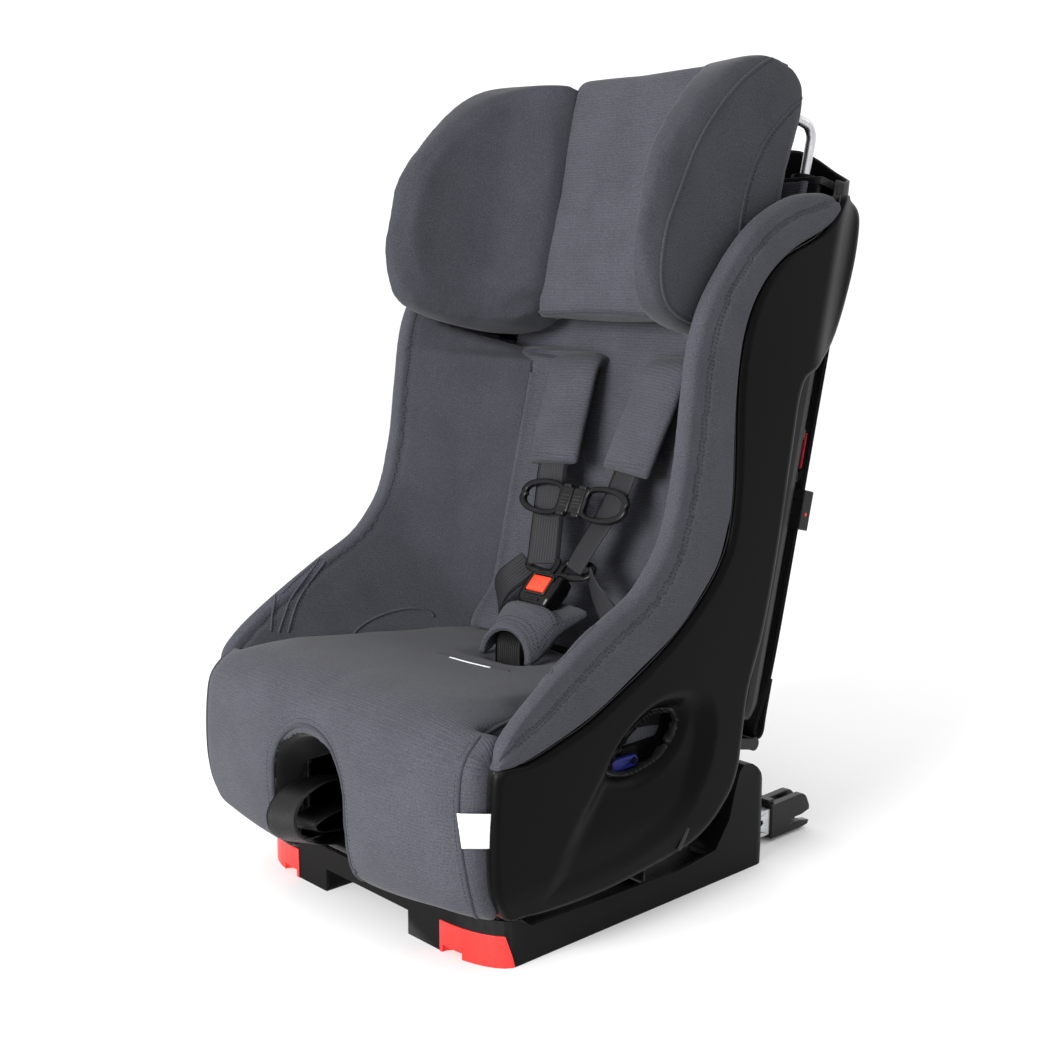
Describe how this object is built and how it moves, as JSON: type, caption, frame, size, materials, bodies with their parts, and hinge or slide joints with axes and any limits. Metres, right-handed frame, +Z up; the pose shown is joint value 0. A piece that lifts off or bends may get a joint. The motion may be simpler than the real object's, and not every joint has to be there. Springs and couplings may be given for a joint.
{
  "type": "convertible car seat",
  "caption": "Padded child car seat with a reclining bucket shell, sliding headrest with side wings, five-point harness, rigid sliding anchor latches and a top tether.",
  "frame": {"origin": "middle of the base's footprint, on the surface that the base stands on", "axes": "+X to the right of a viewer facing the seat, +Y to the rear, +Z up"},
  "size_m": [0.432, 0.571, 0.8014],
  "materials": {
    "shell_plastic": "satin, fine moulded texture",
    "base_plastic": "satin moulded",
    "gloss_black_plastic": "semi-gloss moulded",
    "red_plastic": "satin red",
    "orange_button": "semi-gloss",
    "blue_plastic": "semi-gloss",
    "latch_steel": "brushed, plated",
    "bar_steel": "satin stainless",
    "knit_grey": "ribbed heathered knit",
    "knit_dark": "smooth dark heathered knit",
    "webbing_black": "woven polyester webbing",
    "foam_core": "moulded core",
    "tag_white": "plain woven tag"
  },
  "bodies": {
    "base": {"base_tray": "base_plastic", "corner_foot_left": "red_plastic", "corner_foot_right": "red_plastic", "recline_rails": "latch_steel", "base_screws": "latch_steel"},
    "latch_frame": {"latch_arms": "latch_steel", "latch_jaw_left": "gloss_black_plastic", "latch_jaw_right": "gloss_black_plastic"},
    "latch_hook_left": {"latch_hook_left": "latch_steel"},
    "latch_hook_right": {"latch_hook_right": "latch_steel"},
    "latch_release_left": {"latch_release_left": "gloss_black_plastic"},
    "latch_release_right": {"latch_release_right": "gloss_black_plastic"},
    "belt_lock_left": {"belt_lock_left": "blue_plastic"},
    "belt_lock_right": {"belt_lock_right": "blue_plastic"},
    "chest_clip": {"chest_clip_left": "gloss_black_plastic", "chest_clip_right": "gloss_black_plastic"},
    "buckle_button": {"buckle_button": "orange_button"},
    "adjuster_lever": {"adjuster_lever": "latch_steel"},
    "recline_handle": {"recline_handle": "gloss_black_plastic"},
    "tether_lever": {"tether_lever": "red_plastic"},
    "tether_gate": {"tether_gate": "red_plastic"},
    "headrest": {"headrest_frame": "foam_core", "headrest_pad": "knit_grey", "headrest_wing_left": "knit_dark", "headrest_wing_right": "knit_dark", "headrest_bar": "bar_steel"},
    "headrest_release": {"headrest_release": "gloss_black_plastic"},
    "shell": {"side_shell_left": "shell_plastic", "side_shell_right": "shell_plastic", "belt_guide_left": "gloss_black_plastic", "belt_guide_right": "gloss_black_plastic", "shell_back": "shell_plastic", "top_shelf": "shell_plastic", "seat_pan": "foam_core", "belly_cover": "shell_plastic", "post_tubes": "shell_plastic", "back_panel": "foam_core", "seat_cushion": "knit_grey", "back_pad": "knit_grey", "bolster_left": "knit_dark", "bolster_right": "knit_dark", "harness_strap_left": "webbing_black", "harness_strap_right": "webbing_black", "lap_strap_left": "webbing_black", "lap_strap_right": "webbing_black", "shoulder_pad_left": "knit_grey", "shoulder_pad_right": "knit_grey", "crotch_strap": "webbing_black", "crotch_pad": "knit_grey", "buckle_body": "gloss_black_plastic", "buckle_tongues": "gloss_black_plastic", "adjuster_housing": "gloss_black_plastic", "adjuster_strap": "webbing_black", "splitter_plate": "latch_steel", "tether_strap": "webbing_black", "tether_bar": "gloss_black_plastic", "tether_adjuster": "gloss_black_plastic", "tether_hook": "latch_steel", "cover_tag": "tag_white"}
  },
  "joints": [
    {"name": "shell_recline", "type": "hinge", "parent": "base", "child": "shell", "pos_m": [0, -0.088, 0.635], "axis": [-1, 0, 0], "range_deg": [0, 7]},
    {"name": "latch_slide", "type": "slide", "parent": "base", "child": "latch_frame", "axis": [0, 1, 0], "range_m": [-0.05, 0]},
    {"name": "latch_release_left", "type": "slide", "parent": "latch_frame", "child": "latch_release_left", "axis": [0, 1, 0], "range_m": [0, 0.006], "stiffness_N_per_m": 600, "springref_m": -0.001},
    {"name": "latch_hook_left", "type": "hinge", "parent": "latch_frame", "child": "latch_hook_left", "pos_m": [-0.14, 0.256, 0.031], "axis": [1, 0, 0], "range_deg": [0, 36]},
    {"name": "belt_lock_left", "type": "hinge", "parent": "shell", "child": "belt_lock_left", "pos_m": [-0.1935, -0.026, 0.162], "axis": [-1, 0, 0], "range_deg": [0, 50]},
    {"name": "latch_release_right", "type": "slide", "parent": "latch_frame", "child": "latch_release_right", "axis": [0, 1, 0], "range_m": [0, 0.006], "stiffness_N_per_m": 600, "springref_m": -0.001},
    {"name": "latch_hook_right", "type": "hinge", "parent": "latch_frame", "child": "latch_hook_right", "pos_m": [0.14, 0.256, 0.031], "axis": [1, 0, 0], "range_deg": [0, 36]},
    {"name": "belt_lock_right", "type": "hinge", "parent": "shell", "child": "belt_lock_right", "pos_m": [0.1935, -0.026, 0.162], "axis": [-1, 0, 0], "range_deg": [0, 50]},
    {"name": "headrest_height", "type": "slide", "parent": "shell", "child": "headrest", "axis": [0, 0.2334, 0.9724], "range_m": [0, 0.09]},
    {"name": "headrest_release", "type": "slide", "parent": "headrest", "child": "headrest_release", "axis": [0, 0.2334, 0.9724], "range_m": [0, 0.006], "stiffness_N_per_m": 800, "springref_m": -0.001},
    {"name": "chest_clip_slide", "type": "slide", "parent": "shell", "child": "chest_clip", "axis": [0, 0.4147, 0.91], "range_m": [-0.012, 0.012]},
    {"name": "buckle_button", "type": "slide", "parent": "shell", "child": "buckle_button", "axis": [0, 0.7071, -0.7071], "range_m": [0, 0.003], "stiffness_N_per_m": 900, "springref_m": -0.001},
    {"name": "adjuster_lever", "type": "hinge", "parent": "shell", "child": "adjuster_lever", "pos_m": [0, -0.166, 0.118], "axis": [1, 0, 0], "range_deg": [0, 15], "stiffness_Nm_per_rad": 0.2, "springref_deg": -5.73},
    {"name": "recline_handle", "type": "slide", "parent": "shell", "child": "recline_handle", "axis": [0, -1, 0], "range_m": [0, 0.012], "stiffness_N_per_m": 500, "springref_m": -0.002},
    {"name": "tether_lever", "type": "hinge", "parent": "shell", "child": "tether_lever", "pos_m": [0.172, 0.22948, 0.35833], "axis": [-1, 0, 0], "range_deg": [0, 30], "stiffness_Nm_per_rad": 0.3, "springref_deg": -5.73},
    {"name": "tether_gate", "type": "hinge", "parent": "shell", "child": "tether_gate", "pos_m": [0.172, 0.24808, 0.43408], "axis": [1, 0, 0], "range_deg": [0, 20], "stiffness_Nm_per_rad": 0.2, "springref_deg": -5.73}
  ],
  "couplings": [
    {"joint": "latch_hook_left", "follows": "latch_release_left", "rad_per_m": 100},
    {"joint": "latch_hook_right", "follows": "latch_release_right", "rad_per_m": 100}
  ]
}
